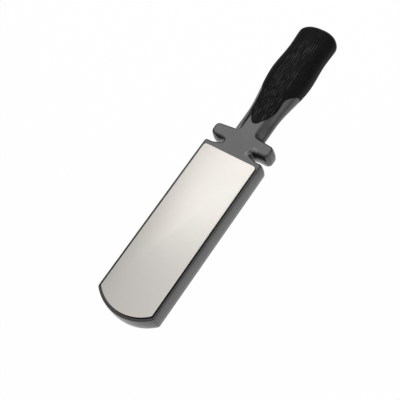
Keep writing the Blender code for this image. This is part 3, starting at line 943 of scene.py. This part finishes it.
class PADDLE_OT_grip(bpy.types.Operator):
    """Make the soft grip and its ribs"""

    bl_idname = "paddle.grip"
    bl_label = "Soft Grip"

    def execute(self, context):
        settings = context.scene.paddle
        grip, tones = settings.grip, settings.finish
        # The grip's lighter streaks are painted highlight
        finish = rubber_finish("black_soft_grip", tones.grip, tones.grip_worn, gloss=0.12)
        # The ribs' lighter streaks are painted highlight, standing in for their sheen
        highlight_streaks = rubber_finish("worn_grip_ribs", tones.grip, tones.rib_worn, gloss=0.20)
        half = above(body_mesh(settings.form, finish), 0.0)
        upper = carved(half, [(grip_block("grip_keep", grip, 0.0), "INTERSECT")])
        values = {
            "Finish": highlight_streaks,
            "count": 2 * int((grip.pad - grip.rib_setback) / grip.rib_pitch) + 1,
            "steps": round((grip.rib_end - grip.front) / grip.rib_pitch),
            "pitch": grip.rib_pitch,
            "width": grip.rib_width,
            "start": HEEL + grip.front,
            "end": HEEL + grip.rib_end,
            "setback": grip.rib_setback,
            "sink": grip.rib_width / 2 - grip.rib_height,
        }
        ribs = run_tree("grip_ribs", rib_tree(), values, upper.copy())
        ribs = joined("grip_ribs", ribs, mirrored(ribs, "lower_ribs"))
        placed("grip_ribs", ribs, highlight_streaks, "black_soft_grip")
        whole = joined("soft_grip_skin", upper, mirrored(upper, "lower"))
        placed("grip_sleeve", whole, finish, "black_soft_grip", "soft_grip")
        return {"FINISHED"}


class PADDLE_OT_plates(bpy.types.Operator):
    """Make the fine and the coarse plate"""

    bl_idname = "paddle.plates"
    bl_label = "Sharpening Plates"

    def execute(self, context):
        settings = context.scene.paddle
        plate, tones = settings.plate, settings.finish
        step, back = plate.edge_break, PLATE_TOP - plate.thickness
        soft = 0.3 * step
        layers = [
            (-step, back),
            (0.0, back + step),
            (0.0, PLATE_TOP - step),
            (-soft, PLATE_TOP - soft),
            (-step, PLATE_TOP),
        ]
        rings = [(plate_outline(plate, outset, outset), height) for outset, height in layers]
        fine = prism("fine_plate", rings)
        fine.transform(Matrix.Translation((plate.shift, 0.0, 0.0)))
        coarse = mirrored(fine, "coarse_plate")
        # Painted shade for the plates' side walls
        side = tones.steel_side
        fine_steel = plate_finish(
            "fine_plate_steel", tones.steel, side, grit=5200.0, depth=0.10, roughness=0.38
        )
        coarse_steel = plate_finish(
            "coarse_plate_steel", tones.steel_coarse, side, grit=2600.0, depth=0.30, roughness=0.46
        )
        slot = "diamond_plated_steel"
        placed("fine_plate", fine, fine_steel, slot, "fine_diamond_plate")
        placed("coarse_plate", coarse, coarse_steel, slot, "coarse_diamond_plate")
        return {"FINISHED"}


class PADDLE_OT_inner(bpy.types.Operator):
    """Finish the pieces inside the tool: films and screws"""

    bl_idname = "paddle.inner"
    bl_label = "Films and Screws"

    def execute(self, context):
        finish = context.scene.paddle.finish
        film = film_finish(finish)
        zinc = zinc_finish(finish)
        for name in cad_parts:
            if name.endswith("adhesive"):
                dress_node(name, film)
            elif "screw" in name:
                dress_node(name, zinc)
        return {"FINISHED"}


class PADDLE_OT_stage(bpy.types.Operator):
    """Set the floor, the lights, the world and the camera"""

    bl_idname = "paddle.stage"
    bl_label = "Studio"

    def execute(self, context):
        scene = context.scene
        stage = scene.paddle.stage
        add_floor(stage, scene.paddle.finish)
        add_light("key_light", **KEY_LIGHT, power=stage.key_power)
        add_light("fill_light", **FILL_LIGHT, power=stage.fill_power)
        set_world(scene, stage)
        add_camera(scene, stage)
        scene.view_settings.view_transform = "Standard"
        return {"FINISHED"}


def add_floor(stage, finish):
    """Add a plain floor, white to the camera and in reflections but for a trace of shadow."""
    half = stage.floor_size / 2
    low = CAD_BOX[0][2] - stage.floor_drop
    form = bmesh.new()
    corners = [(-half, -half), (half, -half), (half, half), (-half, half)]
    form.faces.new([form.verts.new((x, y, low)) for x, y in corners])
    mesh = bpy.data.meshes.new("floor")
    form.to_mesh(mesh)
    form.free()
    material, web, shader = new_material("pale_floor")
    feed(web, shader, Base_Color=(*finish.floor, 1.0), Roughness=0.9)
    white = web.add("ShaderNodeEmission", None, {"Color": (1, 1, 1, 1), "Strength": 1.0})
    seen = web.add("ShaderNodeLightPath", output="Is Camera Ray")
    glossy = web.add("ShaderNodeLightPath", output="Is Glossy Ray")
    plain = Wire(web, shader.outputs[0])
    share = seen.at_least(glossy) * FLOOR_WHITE
    mix = web.add("ShaderNodeMixShader", None, {0: share, 1: plain, 2: white})
    out = web.tree.nodes["Material Output"]
    web.tree.links.new(mix.socket, out.inputs["Surface"])
    mesh.materials.append(material)
    floor = bpy.data.objects.new("floor", mesh)
    bpy.context.scene.collection.objects.link(floor)


def add_light(name, place, target, width, power):
    """Add a square soft box that faces a target."""
    light = bpy.data.lights.new(name, "AREA")
    light.shape = "SQUARE"
    light.size = width
    light.energy = power
    lamp = bpy.data.objects.new(name, light)
    lamp.location = place
    aim = Vector(place) - Vector(target)
    lamp.rotation_euler = aim.to_track_quat("Z", "Y").to_euler()
    bpy.context.scene.collection.objects.link(lamp)


def set_world(scene, stage):
    """Light the studio: white to the camera, pale overhead and dark near the horizon."""
    world = bpy.data.worlds.new("studio")
    world.use_nodes = True
    scene.world = world
    web = Web(world.node_tree)
    height = split(web.add("ShaderNodeTexCoord", output="Generated"))[2]
    pale = height.ease(*SKY_EASE) * stage.sky + stage.horizon
    seen = web.add("ShaderNodeLightPath", output="Is Camera Ray")
    strength = seen + (1.0 - seen) * pale
    background = world.node_tree.nodes["Background"]
    feed(web, background, Color=(1, 1, 1, 1), Strength=strength)


def add_camera(scene, stage):
    """Add the camera at the photograph's viewing angle."""
    lens = bpy.data.cameras.new("camera")
    lens.sensor_width = SENSOR_WIDTH
    lens.lens = stage.lens
    camera = bpy.data.objects.new("camera", lens)
    up, behind = -Vector(CAMERA_DOWN), -Vector(CAMERA_AHEAD)
    turn = Matrix((CAMERA_RIGHT, up, behind)).transposed().to_4x4()
    turn.translation = CAMERA_PLACE
    camera.matrix_world = turn
    scene.collection.objects.link(camera)
    scene.camera = camera


class PADDLE_PT_panel(bpy.types.Panel):
    """Buttons that make the tool's pieces"""

    bl_idname = "PADDLE_PT_panel"
    bl_label = "Sharpening Paddle"
    bl_space_type = "VIEW_3D"
    bl_region_type = "UI"
    bl_category = "Paddle"

    def draw(self, context):
        for name in STEPS:
            self.layout.operator("paddle." + name)


STEPS = ("body", "grip", "plates", "inner", "stage")
CLASSES = (
    FormSizes,
    PlateSizes,
    GripSizes,
    Finishes,
    StageSizes,
    PaddleSettings,
    PADDLE_OT_body,
    PADDLE_OT_grip,
    PADDLE_OT_plates,
    PADDLE_OT_inner,
    PADDLE_OT_stage,
    PADDLE_PT_panel,
)


def register():
    """Register the classes and the settings."""
    for item in CLASSES:
        bpy.utils.register_class(item)
    bpy.types.Scene.paddle = bpy.props.PointerProperty(type=PaddleSettings)


def unregister():
    """Remove the settings and the classes."""
    del bpy.types.Scene.paddle
    for item in reversed(CLASSES):
        bpy.utils.unregister_class(item)


def main():
    """Make every piece."""
    register()
    for name in STEPS:
        getattr(bpy.ops.paddle, name)()


if __name__ == "__main__":
    main()
